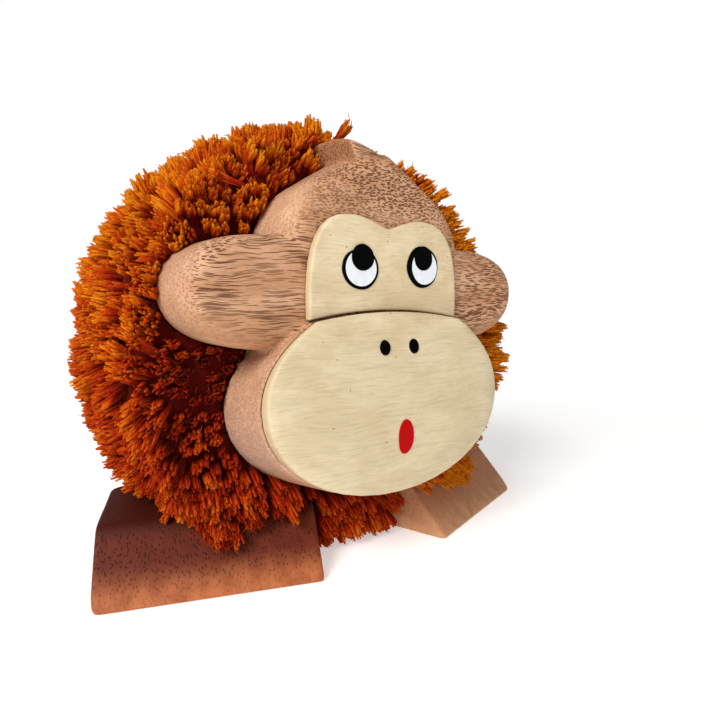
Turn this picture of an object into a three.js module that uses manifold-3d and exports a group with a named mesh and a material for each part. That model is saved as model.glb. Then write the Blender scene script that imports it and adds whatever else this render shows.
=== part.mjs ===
// Wooden monkey figure: a sawn hardwood head with pale applied plates and a painted face,
// a yarn pompom body bound on a turned wooden core, and two splayed wooden feet.
// Millimetres, +Z up. The figure faces -Y and stands on Z = 0.

import * as THREE from 'three';
import { mergeVertices } from 'three/addons/utils/BufferGeometryUtils.js';
import Module from 'manifold-3d';

const wasm = await Module();
wasm.setup();

// Driving dimensions. Head heights are measured from the neck axis, which the core lies on.
// The face seat, where the face plate is glued, is the plane Y = 0 of the head.

// Head board
const boardThickness = 18;
const boardBackEase = 2;
const muzzleStep = 2.3;
const headAside = 1.3;

// Dome
const domeHalfWidth = 26;
const domeSpring = 20;
const domeShoulderX = 15.8;
const domeShoulderZ = 37.6;
const domeRoundDepth = 7;
const domeRoundShare = 0.14;
const domeBackShare = 0.03;

// Lick of hair: it steps up on one side of the crown and runs out on the other
const lickRootX = 6.8;
const lickRootZ = 43;
const lickTipX = 9;
const lickTipZ = 48;
const lickCrownX = 2.5;
const lickCrownZ = 45.6;
const lickRunX = 9;
const lickSink = 5;
const lickSetBack = 1.5;
const lickRoundDepth = 13;
const lickRoundShare = 0.25;
const lickBackShare = 0.04;

// Ears
const earRootX = 17;
const earFlatX = 28;
const earReach = 47;
const earMiddle = 13.3;
const earHalfHeight = 12.3;
const earTopFall = 0.8;
const earRoundDepth = 6;
const earRoundShare = 0.28;
const earBackShare = 0.06;

// Muzzle
const muzzleHalfWidth = 33;
const muzzleCornerX = 20.5;
const muzzleTop = 8.8;
const muzzleCornerDrop = 1.9;
const muzzleWidest = -10.5;
const muzzleBottom = -32.3;
const muzzleRim = 0.2;
const muzzleRimBelow = 0.7;
const muzzleLean = 0.15;
const muzzleRoundDepth = 1.2;
const muzzleRoundShare = 0.012;
const muzzleBackShare = 0.06;

// Pale plates
const facePlateThickness = 1.8;
const facePlateHalfWidth = 21.2;
const facePlateShoulder = 20;
const facePlateBulge = 0.4;
const facePlateTop = 29.8;
const facePlateEase = 0.6;
const facePlateEaseShare = 0.03;
const lobeX = 10.5;
const heartDip = 2.4;
const plateSeam = 0.4;
const muzzlePlateEdge = 3.4;
const muzzlePlateRise = 2.3;
const muzzlePlateFullest = -20;
const muzzlePlateRoundness = 3;
const muzzlePlateTaper = 0.019;

// Painted face
const paintCoat = 0.25;
const paintGap = 0.05;
const eyeX = 9.05;
const eyeShift = 0.7;
const eyeZ = 19;
const eyeHalfWidth = 4.6;
const eyeHalfHeight = 4.9;
const eyeRing = 0.8;
const pupilHalfWidth = 3.1;
const pupilHalfHeight = 2.9;
const pupilRaise = 1.5;
const nostrilX = 4.2;
const nostrilZ = 1;
const nostrilHalfWidth = 1.45;
const nostrilHalfHeight = 1.65;
const mouthZ = -19;
const mouthHalfWidth = 2.2;
const mouthHalfHeight = 3.9;

// Turned core, its cord and the dowels
const flangeRadius = 30;
const flangeThickness = 10;
const waistRadius = 15;
const waistLength = 30;
const backFlangeRadius = 24;
const backFlangeThickness = 8;
const coreChamfer = 1.5;
const cordDiameter = 3;
const neckDowelRadius = 5;
const neckDowelInHead = 9;
const neckDowelInCore = 15;
const legDowelRadius = 3;
const legDowelInFoot = 9;
const legDowelInCore = 14;
const legDowelInset = 9;
const dowelChamfer = 0.8;
const woodGap = 0.3;

// Yarn ball: it sinks below the neck axis and laps round the edge of the head board
const pompomRadius = 58;
const pompomDepth = 21;
const pompomDrop = 1.5;
const pompomLap = 4;
const pompomFloorGap = 1;
const nestGap = 1;
const yarnGap = 0.5;
const tuftSpacing = 11;
const tuftHeight = 3.2;

// Feet
const footWidth = 48;
const footLength = 40;
const footHeight = 14;
const toeRun = 12.6;
const toeLip = 1.2;
const footInnerRadius = 2;
const footCornerRadius = 4;
const footStance = 18.7;
const footSetForward = 1.6;
const footSplay = THREE.MathUtils.degToRad(19);
const chinGap = 1;

// Smoothness of round forms, in steps
const curveSteps = 10;
const roundSteps = 32;
const ballSteps = 108;
const edgeSteps = 5;
const swellSteps = 9;
const cordSteps = 10;
const weld = 1e-4;

// How far the handles of the free curves reach, as shares of the span they bridge
const domeSideHandle = 0.5;
const domeTopHandle = 0.3;
const earHandle = 0.6;
const muzzleSideHandle = 0.45;
const muzzleCornerHandle = 0.5;
const muzzleCornerFall = 0.22;
const muzzleLowHandle = 0.55;
const muzzleChinHandle = 0.58;
const lobeHandle = 0.5;
const dipHandle = 0.2;

// Materials
const brownWood = new THREE.MeshStandardMaterial({ color: 0xbd8f70, roughness: 0.6, metalness: 0 });
const paleWood = new THREE.MeshStandardMaterial({ color: 0xe6d3a8, roughness: 0.55, metalness: 0 });
const footWood = new THREE.MeshStandardMaterial({ color: 0xa4694a, roughness: 0.6, metalness: 0 });
const coreWood = new THREE.MeshStandardMaterial({ color: 0xcfae84, roughness: 0.7, metalness: 0 });
const blackPaint = new THREE.MeshStandardMaterial({ color: 0x0d0d0f, roughness: 0.35, metalness: 0 });
const whitePaint = new THREE.MeshStandardMaterial({ color: 0xf6f6f4, roughness: 0.4, metalness: 0 });
const redPaint = new THREE.MeshStandardMaterial({ color: 0xcc0f0c, roughness: 0.35, metalness: 0 });
const rustYarn = new THREE.MeshStandardMaterial({ color: 0xb4560f, roughness: 0.95, metalness: 0 });
const tieCord = new THREE.MeshStandardMaterial({ color: 0x7c3a10, roughness: 0.9, metalness: 0 });

// The chin of the head board slopes down to the back, where it clears the tops of the feet.
const chin = muzzleBottom - muzzleRimBelow - muzzleLean * (boardThickness + muzzleStep);
const neckHeight = footHeight + chinGap - chin;
const muzzleCorner = muzzleTop - muzzleCornerDrop;

// A closed solid for joining and cutting, from any geometry with no open edge.
function solid(geometry) {
  const bare = geometry.clone();
  bare.deleteAttribute('normal');
  bare.deleteAttribute('uv');
  const merged = mergeVertices(bare, weld);
  const triangles = [];
  for (let i = 0; i < merged.index.count; i += 3) {
    const corners = [0, 1, 2].map((k) => merged.index.getX(i + k));
    if (new Set(corners).size === 3) triangles.push(...corners);
  }
  return new wasm.Manifold(new wasm.Mesh({
    numProp: 3,
    vertProperties: new Float32Array(merged.attributes.position.array),
    triVerts: new Uint32Array(triangles),
  }));
}

function geometryOf(body) {
  const mesh = body.getMesh();
  const geometry = new THREE.BufferGeometry();
  geometry.setAttribute('position', new THREE.BufferAttribute(new Float32Array(mesh.vertProperties), 3));
  geometry.setIndex(new THREE.BufferAttribute(new Uint32Array(mesh.triVerts), 1));
  geometry.computeVertexNormals();
  return geometry;
}

// Points of a front-view outline, counter-clockwise as seen from the front.
function outlinePoints(shape) {
  const points = shape.getPoints(curveSteps);
  if (points[0].distanceTo(points[points.length - 1]) < weld) points.pop();
  return THREE.ShapeUtils.isClockWise(points) ? points.reverse() : points;
}

// Skins a front-view outline through sections [y, scale] from back to front, each scaled about a centre.
function loft(shape, centreZ, sections, centreX = 0) {
  const outline = outlinePoints(shape);
  const count = outline.length;
  const positions = sections.flatMap(([y, scale]) => outline.flatMap((p) => [
    centreX + (p.x - centreX) * scale,
    y,
    centreZ + (p.y - centreZ) * scale,
  ]));
  const faces = [];
  for (let row = 0; row < sections.length - 1; row += 1) {
    for (let i = 0; i < count; i += 1) {
      const back = row * count;
      const front = back + count;
      const next = (i + 1) % count;
      faces.push(back + i, back + next, front + i);
      faces.push(back + next, front + next, front + i);
    }
  }
  const last = (sections.length - 1) * count;
  for (const [a, b, c] of THREE.ShapeUtils.triangulateShape(outline, [])) {
    faces.push(c, b, a);
    if (sections[sections.length - 1][1] > 0) faces.push(last + a, last + b, last + c);
  }
  const geometry = new THREE.BufferGeometry();
  geometry.setAttribute('position', new THREE.Float32BufferAttribute(positions, 3));
  geometry.setIndex(faces);
  return geometry;
}

// Sections of a sanded board: square at the side, rounded over to the front and eased at the back.
function sandedSections(front, roundDepth, roundShare, backShare) {
  const sections = [[boardThickness, 1 - backShare], [boardThickness - boardBackEase, 1]];
  for (let i = 0; i <= edgeSteps; i += 1) {
    const angle = (i / edgeSteps) * Math.PI / 2;
    sections.push([front + roundDepth * (1 - Math.sin(angle)), 1 - roundShare * (1 - Math.cos(angle))]);
  }
  return sections;
}

// Dome outline, peaked where the lick of hair stands.
function domeOutline() {
  const rise = domeShoulderZ - domeSpring;
  const handleX = domeShoulderX + rise * domeTopHandle;
  const handleZ = domeShoulderZ - (domeHalfWidth - domeShoulderX) * domeTopHandle;
  const sideZ = domeSpring + rise * domeSideHandle;
  const shape = new THREE.Shape();
  shape.moveTo(domeHalfWidth, muzzleCorner);
  shape.lineTo(domeHalfWidth, domeSpring);
  shape.bezierCurveTo(domeHalfWidth, sideZ, handleX, handleZ, domeShoulderX, domeShoulderZ);
  shape.lineTo(lickCrownX, lickCrownZ);
  shape.lineTo(-lickRootX, lickRootZ);
  shape.lineTo(-domeShoulderX, domeShoulderZ);
  shape.bezierCurveTo(-handleX, handleZ, -domeHalfWidth, sideZ, -domeHalfWidth, domeSpring);
  shape.lineTo(-domeHalfWidth, muzzleCorner);
  shape.closePath();
  return shape;
}

// The lick rises out of the dome's far slope, levels off at its tip and drops back to the dome.
function lickOutline() {
  const low = lickRootZ - lickSink;
  const slope = (lickCrownZ - domeShoulderZ) / (domeShoulderX - lickCrownX);
  const runZ = lickCrownZ - (lickRunX - lickCrownX) * slope;
  const bendX = lickCrownX - (lickTipZ - lickCrownZ) / slope;
  const shape = new THREE.Shape();
  shape.moveTo(-lickRootX, low);
  shape.lineTo(lickRunX, low);
  shape.lineTo(lickRunX, runZ);
  shape.quadraticCurveTo(bendX, lickTipZ, -lickTipX, lickTipZ);
  shape.lineTo(-lickRootX, lickRootZ);
  shape.closePath();
  return shape;
}

function earOutline(side) {
  const top = earMiddle + earHalfHeight;
  const tipTop = top - earTopFall;
  const bottom = earMiddle - earHalfHeight;
  const handleX = side * (earFlatX + (earReach - earFlatX) * earHandle);
  const handleZ = earHalfHeight * earHandle;
  const tip = side * earReach;
  const shape = new THREE.Shape();
  shape.moveTo(side * earRootX, bottom);
  shape.lineTo(side * earFlatX, bottom);
  shape.bezierCurveTo(handleX, bottom, tip, earMiddle - handleZ, tip, earMiddle);
  shape.bezierCurveTo(tip, earMiddle + handleZ, handleX, tipTop, side * earFlatX, tipTop);
  shape.lineTo(side * earRootX, top);
  shape.closePath();
  return shape;
}

// Height of the muzzle's arched top, and the middle handle of the same arch over a half width.
function archHeight(x) {
  return muzzleTop - muzzleCornerDrop * (x / muzzleCornerX) ** 2;
}

function archHandle(halfWidth) {
  return 2 * muzzleTop - archHeight(halfWidth);
}

// Wide oval with a flat-arched top. The rim widens it at the sides and below.
function muzzleOutline(rim, rimBelow) {
  const half = muzzleHalfWidth + rim;
  const bottom = muzzleBottom - rimBelow;
  const fall = muzzleCorner - muzzleWidest;
  const cornerX = muzzleCornerX + (half - muzzleCornerX) * muzzleCornerHandle;
  const cornerZ = muzzleCorner - fall * muzzleCornerFall;
  const sideZ = muzzleWidest + fall * muzzleSideHandle;
  const lowZ = muzzleWidest - (muzzleWidest - bottom) * muzzleLowHandle;
  const chinX = half * muzzleChinHandle;
  const shape = new THREE.Shape();
  shape.moveTo(-muzzleCornerX, muzzleCorner);
  shape.quadraticCurveTo(0, archHandle(muzzleCornerX), muzzleCornerX, muzzleCorner);
  shape.bezierCurveTo(cornerX, cornerZ, half, sideZ, half, muzzleWidest);
  shape.bezierCurveTo(half, lowZ, chinX, bottom, 0, bottom);
  shape.bezierCurveTo(-chinX, bottom, -half, lowZ, -half, muzzleWidest);
  shape.bezierCurveTo(-half, sideZ, -cornerX, cornerZ, -muzzleCornerX, muzzleCorner);
  return shape;
}

// Heart-topped plate whose lower edge follows the arch of the muzzle, one seam above it.
function facePlateOutline() {
  const half = facePlateHalfWidth;
  const corner = archHeight(half) + plateSeam;
  const shoulder = corner + facePlateTop - facePlateShoulder;
  const bulge = half + facePlateBulge;
  const lobe = lobeX * lobeHandle;
  const dip = lobeX * dipHandle;
  const notch = facePlateTop - heartDip;
  const shape = new THREE.Shape();
  shape.moveTo(-half, corner);
  shape.quadraticCurveTo(0, archHandle(half) + plateSeam, half, corner);
  shape.bezierCurveTo(bulge, shoulder, half, facePlateTop, lobeX, facePlateTop);
  shape.bezierCurveTo(lobe, facePlateTop, dip, notch, 0, notch);
  shape.bezierCurveTo(-dip, notch, -lobe, facePlateTop, -lobeX, facePlateTop);
  shape.bezierCurveTo(-half, facePlateTop, -bulge, shoulder, -half, corner);
  return shape;
}

function ovalOutline(x, z, halfWidth, halfHeight) {
  const shape = new THREE.Shape();
  shape.absellipse(x, z, halfWidth, halfHeight, 0, Math.PI * 2);
  return shape;
}

// Solid of revolution about the Y axis, from points [radius, y].
function turned(profile) {
  return new THREE.LatheGeometry(profile.map(([radius, y]) => new THREE.Vector2(radius, y)), roundSteps);
}

// Round dowel along Y with chamfered ends. A clearance grows it, square-ended, for cutting its hole.
function dowelAlongY(radius, from, to, clearance = 0) {
  const chamfer = clearance > 0 ? 0 : dowelChamfer;
  const r = radius + clearance;
  return turned([
    [0, from - clearance],
    [r - chamfer, from - clearance],
    [r, from - clearance + chamfer],
    [r, to + clearance - chamfer],
    [r - chamfer, to + clearance],
    [0, to + clearance],
  ]);
}

// Dowel standing on end between two heights.
function uprightDowel(from, to, clearance = 0) {
  return dowelAlongY(legDowelRadius, from, to, clearance).rotateX(Math.PI / 2);
}

function box(min, max) {
  const size = max.map((value, axis) => value - min[axis]);
  const middle = max.map((value, axis) => (value + min[axis]) / 2);
  return new THREE.BoxGeometry(...size).translate(...middle);
}

// Core, along Y behind the head board
const coreFront = boardThickness;
const waistFront = coreFront + flangeThickness;
const waistBack = waistFront + waistLength;
const coreBack = waistBack + backFlangeThickness;
const flangeMiddle = coreFront + flangeThickness / 2;

// Legs: each dowel stands in its foot and meets the middle of the front flange.
const legBack = (flangeMiddle + footSetForward - legDowelInset * Math.sin(footSplay)) / Math.cos(footSplay);
const legX = footStance + legDowelInset * Math.cos(footSplay) - legBack * Math.sin(footSplay);
const legTop = neckHeight - Math.sqrt(flangeRadius ** 2 - (legX + headAside) ** 2) + legDowelInCore;
const legBottom = footHeight - legDowelInFoot;

// The sawn and sanded head before its dowel hole is bored.
function headBlank() {
  const muzzleMiddle = (muzzleTop + muzzleBottom) / 2;
  const earCentreX = (earRootX + earReach) / 2;
  const domeSections = sandedSections(0, domeRoundDepth, domeRoundShare, domeBackShare);
  const earSections = sandedSections(0, earRoundDepth, earRoundShare, earBackShare);
  const muzzleSections = sandedSections(-muzzleStep, muzzleRoundDepth, muzzleRoundShare, muzzleBackShare);
  const lickSections = sandedSections(lickSetBack, lickRoundDepth, lickRoundShare, lickBackShare);
  const muzzleBack = loft(muzzleOutline(muzzleRim, muzzleRimBelow), muzzleMiddle, muzzleSections);
  const lean = new THREE.Matrix4().makeShear(0, 0, 0, -muzzleLean, 0, 0);
  muzzleBack.applyMatrix4(lean).translate(0, 0, -muzzleLean * muzzleStep);
  let board = solid(loft(domeOutline(), earMiddle, domeSections)).add(solid(muzzleBack));
  board = board.add(solid(loft(lickOutline(), lickRootZ - lickSink, lickSections, -lickRootX)));
  for (const side of [-1, 1]) {
    board = board.add(solid(loft(earOutline(side), earMiddle, earSections, side * earCentreX)));
  }
  return board;
}

function headBoard() {
  const hole = dowelAlongY(neckDowelRadius, boardThickness - neckDowelInHead, 2 * boardThickness, woodGap);
  return geometryOf(headBlank().subtract(solid(hole)));
}

function facePlate() {
  return loft(facePlateOutline(), earMiddle, [
    [0, 1],
    [facePlateEase - facePlateThickness, 1],
    [facePlateEase / 4 - facePlateThickness, 1 - facePlateEaseShare / 3],
    [-facePlateThickness, 1 - facePlateEaseShare],
  ]);
}

// Domed plate, fullest below the middle and thinner towards the top.
// The shift moves a copy forward, for paint that follows the dome.
function muzzlePlate(shift = 0) {
  const seat = -muzzleStep - shift;
  const sections = [[seat, 1]];
  for (let i = 0; i < swellSteps; i += 1) {
    const scale = Math.cos((i / swellSteps) * Math.PI / 2);
    const swell = Math.sqrt(1 - scale ** muzzlePlateRoundness);
    sections.push([seat - muzzlePlateEdge - muzzlePlateRise * swell, scale]);
  }
  sections.push([seat - muzzlePlateEdge - muzzlePlateRise, 0]);
  const plate = loft(muzzleOutline(0, 0), muzzlePlateFullest, sections);
  const points = plate.attributes.position;
  for (let i = 0; i < points.count; i += 1) {
    const above = Math.max(0, points.getZ(i) - muzzlePlateFullest);
    points.setY(i, seat + (points.getY(i) - seat) * (1 - muzzlePlateTaper * above));
  }
  return plate;
}

// Paint on the flat face plate. Layer 0 lies on the wood and each next one on the coat below.
function faceCoat(outline, layer) {
  const back = -facePlateThickness - paintCoat * layer;
  return loft(outline, 0, [[back, 1], [back - paintCoat, 1]]);
}

// Paint that follows the muzzle plate's dome.
function muzzleCoat(outline) {
  const bar = solid(loft(outline, 0, [[-muzzleStep, 1], [-2 * noseReach, 1]]));
  const outer = solid(muzzlePlate(paintGap + paintCoat));
  const inner = solid(muzzlePlate(paintGap));
  return geometryOf(bar.intersect(outer).subtract(inner));
}

// Turned spool: the yarn is bound round its waist. A clearance grows it and covers the cord.
function coreProfile(clearance = 0) {
  const edge = clearance > 0 ? 0 : coreChamfer;
  const waist = waistRadius + (clearance > 0 ? woodGap + cordDiameter + clearance : 0);
  return [
    [0, coreFront - clearance],
    [flangeRadius + clearance - edge, coreFront - clearance],
    [flangeRadius + clearance, coreFront - clearance + edge],
    [flangeRadius + clearance, waistFront + clearance - edge],
    [flangeRadius + clearance - edge, waistFront + clearance],
    [waist, waistFront + clearance],
    [waist, waistBack - clearance],
    [backFlangeRadius + clearance - edge, waistBack - clearance],
    [backFlangeRadius + clearance, waistBack - clearance + edge],
    [backFlangeRadius + clearance, coreBack + clearance - edge],
    [backFlangeRadius + clearance - edge, coreBack + clearance],
    [0, coreBack + clearance],
  ];
}

function bodyCore() {
  const neckHole = dowelAlongY(neckDowelRadius, 0, coreFront + neckDowelInCore, woodGap);
  let core = solid(turned(coreProfile())).subtract(solid(neckHole));
  for (const side of [-1, 1]) {
    const legHole = uprightDowel(legBottom, legTop, woodGap);
    legHole.translate(side * legX + headAside, flangeMiddle, -neckHeight);
    core = core.subtract(solid(legHole));
  }
  return geometryOf(core);
}

function bindingCord() {
  const ringRadius = waistRadius + woodGap + cordDiameter / 2;
  const ring = new THREE.TorusGeometry(ringRadius, cordDiameter / 2, cordSteps, roundSteps);
  ring.rotateX(Math.PI / 2).translate(0, (waistFront + waistBack) / 2, 0);
  return geometryOf(solid(ring));
}

// Foot block with a sloped toe, from its inner front corner outwards and back.
function footBlock(side, grow = 0) {
  const low = -grow;
  const high = footHeight + grow;
  const front = -grow;
  const back = footLength + grow;
  const inner = side * -grow;
  const outer = side * (footWidth + grow);
  const turn = side * footCornerRadius;
  const slope = footHeight / toeRun;
  const plan = new THREE.Shape();
  plan.moveTo(inner + side * footInnerRadius, front);
  plan.lineTo(outer - turn, front);
  plan.quadraticCurveTo(outer, front, outer, front + footCornerRadius);
  plan.lineTo(outer, back - footCornerRadius);
  plan.quadraticCurveTo(outer, back, outer - turn, back);
  plan.lineTo(inner + turn, back);
  plan.quadraticCurveTo(inner, back, inner, back - footCornerRadius);
  plan.lineTo(inner, front + footInnerRadius);
  plan.quadraticCurveTo(inner, front, inner + side * footInnerRadius, front);
  const profile = new THREE.Shape();
  profile.moveTo(front + toeLip, low);
  profile.lineTo(back, low);
  profile.lineTo(back, high);
  profile.lineTo(front + toeRun + toeLip, high);
  profile.quadraticCurveTo(front + toeRun, high, front + toeRun - toeLip, high - toeLip * slope);
  profile.lineTo(front + toeLip, low + toeLip * slope);
  profile.quadraticCurveTo(front, low, front + toeLip, low);
  const flat = { bevelEnabled: false, curveSegments: edgeSteps };
  const planBlock = new THREE.ExtrudeGeometry(plan, { ...flat, depth: high - low });
  planBlock.translate(0, 0, low);
  const wedge = new THREE.ExtrudeGeometry(profile, { ...flat, depth: Math.abs(outer - inner) });
  const lieDown = new THREE.Matrix4().makeBasis(
    new THREE.Vector3(0, 1, 0), new THREE.Vector3(0, 0, 1), new THREE.Vector3(1, 0, 0),
  );
  wedge.applyMatrix4(lieDown).translate(Math.min(inner, outer), 0, 0);
  return solid(planBlock).intersect(solid(wedge));
}

function foot(side) {
  const hole = uprightDowel(legBottom, 2 * footHeight, woodGap);
  hole.translate(side * legDowelInset, legBack, 0);
  return geometryOf(footBlock(side).subtract(solid(hole)));
}

// Room in the yarn that the head sits in: the head's own outline made wider by the gap, open to the front.
function headNest() {
  const outline = headBlank().rotate([90, 0, 0]).project().offset(nestGap, 'Round', undefined, roundSteps);
  return outline.extrude(boardThickness + yarnGap).rotate([-90, 0, 0]);
}

// Tops of the tufts, spread evenly over the ball by the golden angle from the back to the front.
function tuftTops() {
  const goldenAngle = Math.PI * (3 - Math.sqrt(5));
  const tuftArea = Math.sqrt(3) / 2 * tuftSpacing ** 2;
  const count = Math.round(4 * Math.PI * pompomRadius ** 2 / tuftArea);
  return Array.from({ length: count }, (_, i) => new THREE.Vector3().setFromSphericalCoords(
    pompomRadius, Math.acos(1 - 2 * i / (count - 1)), i * goldenAngle,
  ));
}

// The ball swells at each tuft and sinks between the tufts.
function tuftedBall() {
  const tops = tuftTops();
  const halfWay = tuftSpacing / Math.sqrt(3);
  return wasm.Manifold.sphere(pompomRadius, ballSteps).warp((point) => {
    const spot = new THREE.Vector3(...point);
    const aside = Math.min(...tops.map((top) => top.distanceTo(spot)));
    const slope = Math.PI * Math.min(aside / halfWay, 1);
    const fall = tuftHeight * (1 - Math.cos(slope)) / 2;
    spot.setLength(pompomRadius - fall).toArray(point);
  });
}

// Ball of yarn, pressed flat underneath, with room for the head, core, cord, dowels and feet.
function yarnPompom() {
  const far = 2 * pompomRadius;
  let yarn = tuftedBall().translate([0, boardThickness + pompomDepth, -pompomDrop]);
  yarn = yarn.subtract(solid(box([-far, -far, -far], [far, boardThickness - pompomLap, far])));
  yarn = yarn.subtract(solid(box([-far, -far, -far], [far, far, pompomFloorGap - neckHeight])));
  yarn = yarn.subtract(headNest()).subtract(solid(turned(coreProfile(yarnGap))));
  for (const side of [-1, 1]) {
    const footRoom = geometryOf(footBlock(side, yarnGap)).rotateZ(side * footSplay);
    footRoom.translate(side * footStance + headAside, -footSetForward, -neckHeight);
    const legRoom = uprightDowel(legBottom, legTop, yarnGap);
    legRoom.translate(side * legX + headAside, flangeMiddle, -neckHeight);
    yarn = yarn.subtract(solid(footRoom)).subtract(solid(legRoom));
  }
  return geometryOf(yarn);
}

function piece(name, geometry, material) {
  const mesh = new THREE.Mesh(geometry, material.clone());
  mesh.name = name;
  return mesh;
}

const sides = [['left', -1], ['right', 1]];

function headGroup() {
  const head = new THREE.Group();
  head.add(piece('head_board', headBoard(), brownWood));
  head.add(piece('face_plate', facePlate(), paleWood));
  head.add(piece('muzzle_plate', muzzlePlate(), paleWood));
  for (const [name, side] of sides) {
    const x = side * eyeX + eyeShift;
    const outline = ovalOutline(x, eyeZ, eyeHalfWidth, eyeHalfHeight);
    const white = ovalOutline(x, eyeZ, eyeHalfWidth - eyeRing, eyeHalfHeight - eyeRing);
    const pupil = ovalOutline(x, eyeZ + pupilRaise, pupilHalfWidth, pupilHalfHeight);
    const nostril = ovalOutline(side * nostrilX, nostrilZ, nostrilHalfWidth, nostrilHalfHeight);
    head.add(piece(`${name}_eye_outline`, faceCoat(outline, 0), blackPaint));
    head.add(piece(`${name}_eye_white`, faceCoat(white, 1), whitePaint));
    head.add(piece(`${name}_pupil`, faceCoat(pupil, 2), blackPaint));
    head.add(piece(`${name}_nostril`, muzzleCoat(nostril), blackPaint));
  }
  head.add(piece('mouth', muzzleCoat(ovalOutline(0, mouthZ, mouthHalfWidth, mouthHalfHeight)), redPaint));
  return head;
}

function bodyGroup() {
  const body = new THREE.Group();
  const neck = dowelAlongY(neckDowelRadius, coreFront - neckDowelInHead, coreFront + neckDowelInCore);
  body.add(piece('body_core', bodyCore(), coreWood));
  body.add(piece('binding_cord', bindingCord(), tieCord));
  body.add(piece('neck_dowel', geometryOf(solid(neck)), coreWood));
  body.add(piece('yarn_pompom', yarnPompom(), rustYarn));
  return body;
}

function footGroup(name, side) {
  const group = new THREE.Group();
  group.position.set(side * footStance, -footSetForward, 0);
  group.rotation.z = side * footSplay;
  group.add(piece(`${name}_foot`, foot(side), footWood));
  const dowel = piece(`${name}_leg_dowel`, geometryOf(solid(uprightDowel(legBottom, legTop))), coreWood);
  dowel.position.set(side * legDowelInset, legBack, 0);
  group.add(dowel);
  return group;
}

// The whole figure, with its origin on the ground under the middle of its depth.
const noseReach = muzzleStep + muzzlePlateEdge + muzzlePlateRise + paintGap + paintCoat;
const tailReach = boardThickness + pompomDepth + pompomRadius;

const figure = new THREE.Group();
figure.position.y = (noseReach - tailReach) / 2;
const head = headGroup();
const body = bodyGroup();
for (const group of [head, body]) {
  group.position.set(-headAside, 0, neckHeight);
  figure.add(group);
}
for (const [name, side] of sides) {
  figure.add(footGroup(name, side));
}

const monkey = new THREE.Group();
monkey.add(figure);

export default monkey;
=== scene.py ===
import math

import bmesh
import bpy
import numpy as np
from mathutils import Matrix, Vector, noise
from mathutils.bvhtree import BVHTree


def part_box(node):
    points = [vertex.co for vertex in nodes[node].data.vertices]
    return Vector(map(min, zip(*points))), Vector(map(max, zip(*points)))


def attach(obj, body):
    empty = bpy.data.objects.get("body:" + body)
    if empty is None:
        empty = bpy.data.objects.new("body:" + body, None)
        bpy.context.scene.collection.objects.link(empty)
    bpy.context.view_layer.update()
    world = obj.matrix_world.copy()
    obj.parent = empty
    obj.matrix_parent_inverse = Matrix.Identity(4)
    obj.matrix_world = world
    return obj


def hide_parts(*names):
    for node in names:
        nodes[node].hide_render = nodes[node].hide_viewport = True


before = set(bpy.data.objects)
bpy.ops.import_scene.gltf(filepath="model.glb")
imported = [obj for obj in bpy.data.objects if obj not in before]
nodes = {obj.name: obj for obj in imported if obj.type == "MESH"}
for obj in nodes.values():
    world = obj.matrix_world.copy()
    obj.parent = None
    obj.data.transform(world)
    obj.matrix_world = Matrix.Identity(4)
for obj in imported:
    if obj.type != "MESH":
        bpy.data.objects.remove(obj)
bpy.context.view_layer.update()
scene = bpy.context.scene
scene.view_settings.view_transform = "Standard"
mm, toMm = 0.001, 1000.0
print("frame loaded")


class Wire:
    # one shader socket, so that shader sums read as plain sums
    def __init__(self, tree, socket=None):
        self.tree, self.socket = tree, socket

    def node(self, kind, settings, sockets, out=0):
        made = self.tree.nodes.new(kind)
        for key, value in settings.items():
            if key == "stops":
                band = made.color_ramp.elements
                while len(band) < len(value):
                    band.new(1.0)
                for mark, (at, colour) in zip(band, value):
                    mark.position, mark.color = at, colour
            else:
                setattr(made, key, value)
        for key, value in sockets.items():
            if isinstance(value, Wire):
                self.tree.links.new(value.socket, made.inputs[key])
            else:
                made.inputs[key].default_value = value
        return Wire(self.tree, made.outputs[out])

    def sum(self, operation, left, right):
        return self.node("ShaderNodeMath", {"operation": operation}, {0: left, 1: right})

    def __add__(self, other): return self.sum("ADD", self, other)
    def __radd__(self, other): return self.sum("ADD", other, self)
    def __sub__(self, other): return self.sum("SUBTRACT", self, other)
    def __rsub__(self, other): return self.sum("SUBTRACT", other, self)
    def __mul__(self, other): return self.sum("MULTIPLY", self, other)
    def __rmul__(self, other): return self.sum("MULTIPLY", other, self)
    def __truediv__(self, other): return self.sum("DIVIDE", self, other)
    def __rtruediv__(self, other): return self.sum("DIVIDE", other, self)
    def __pow__(self, other): return self.sum("POWER", self, other)
    def __neg__(self): return self.sum("MULTIPLY", self, -1.0)
    def __abs__(self): return self.sum("ABSOLUTE", self, 0.0)


def tint(red, green, blue):
    # a colour as the screen shows it, from 0 to 255, made linear
    parts = [c / 255 for c in (red, green, blue)]
    return tuple(c / 12.92 if c <= 0.04045 else ((c + 0.055) / 1.055) ** 2.4 for c in parts) + (1.0,)


def scaled(place, sizes):
    # the place counted in marks of about these sizes, in millimetres
    return place.node("ShaderNodeVectorMath", {"operation": "MULTIPLY"},
                      {0: place, 1: tuple(1.0 / s for s in sizes)})


def noiseOf(place, sizes, detail=2.0, rough=0.5, out="Fac"):
    # cloudy noise
    return place.node("ShaderNodeTexNoise", {}, {"Vector": scaled(place, sizes), "Scale": 1.0,
                                                 "Detail": detail, "Roughness": rough}, out)


def poresOf(place, sizes, low, high):
    # separate marks, one in each cell
    cells = place.node("ShaderNodeTexVoronoi", {}, {"Vector": scaled(place, sizes), "Scale": 1.0},
                       "Distance")
    return 1.0 - step(cells, low, high)


def step(value, low, high):
    return value.node("ShaderNodeMapRange", {"interpolation_type": "SMOOTHSTEP"},
                      {"Value": value, "From Min": low, "From Max": high})


def blend(factor, first, second):
    return factor.node("ShaderNodeMix", {"data_type": "RGBA", "blend_type": "MIX"},
                       {0: factor, 6: first, 7: second}, 2)


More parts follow.
